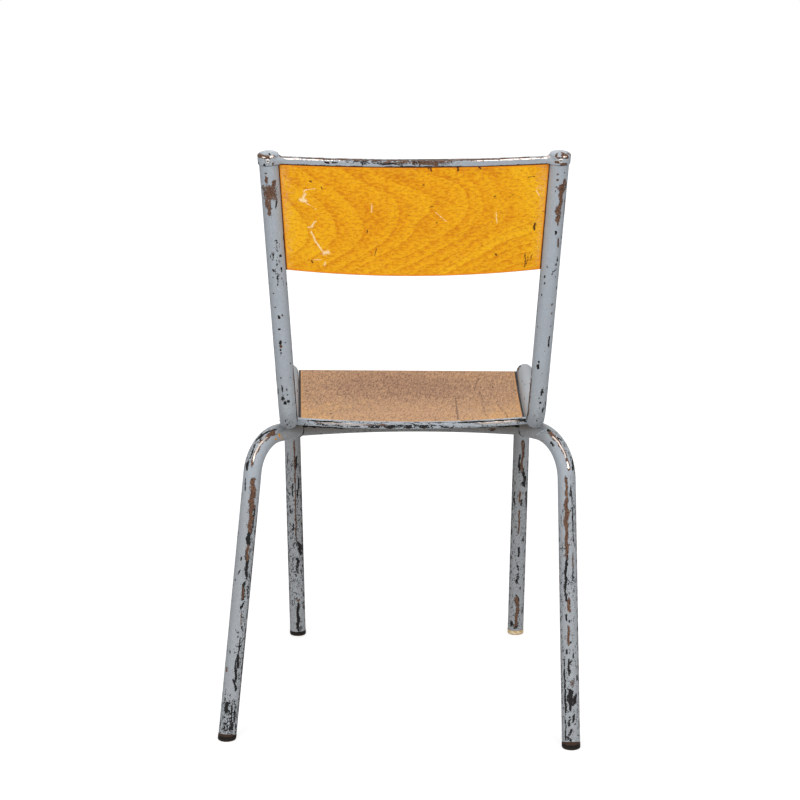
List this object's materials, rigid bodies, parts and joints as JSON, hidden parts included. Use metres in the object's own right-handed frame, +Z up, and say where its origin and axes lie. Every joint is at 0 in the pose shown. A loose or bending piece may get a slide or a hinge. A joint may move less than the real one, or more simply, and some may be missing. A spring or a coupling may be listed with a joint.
{
  "type": "stacking chair",
  "caption": "Stacking chair of bent steel tube with a dished plywood seat, a bowed plywood backrest held in slots in the uprights, and splayed rear legs.",
  "frame": {"origin": "on the floor, under the centre of the chair's bounding box", "axes": "+Z up; -Y is the way the sitter faces; +X is the sitter's left"},
  "size_m": [0.4986, 0.5306, 0.812],
  "materials": {
    "grey_paint": "semi-gloss paint, chipped to primer and bare steel",
    "rivet_steel": "worn plated steel",
    "seat_plywood": "worn clear varnish",
    "backrest_plywood": "glossy amber varnish",
    "black_rubber": "matte",
    "cream_plastic": "satin, yellowed"
  },
  "bodies": {
    "root": {"side_tube_left": "grey_paint", "side_tube_right": "grey_paint", "rear_leg_left": "grey_paint", "rear_leg_right": "grey_paint", "rear_cross_tube": "grey_paint", "front_cross_tube": "grey_paint", "seat_rear_channel": "grey_paint", "top_rail": "grey_paint", "cap_rivet_left": "rivet_steel", "cap_rivet_right": "rivet_steel", "seat_panel": "seat_plywood", "backrest_panel": "backrest_plywood", "front_glide_left": "black_rubber", "front_glide_right": "cream_plastic", "rear_glide_left": "black_rubber", "rear_glide_right": "black_rubber"}
  },
  "joints": []
}
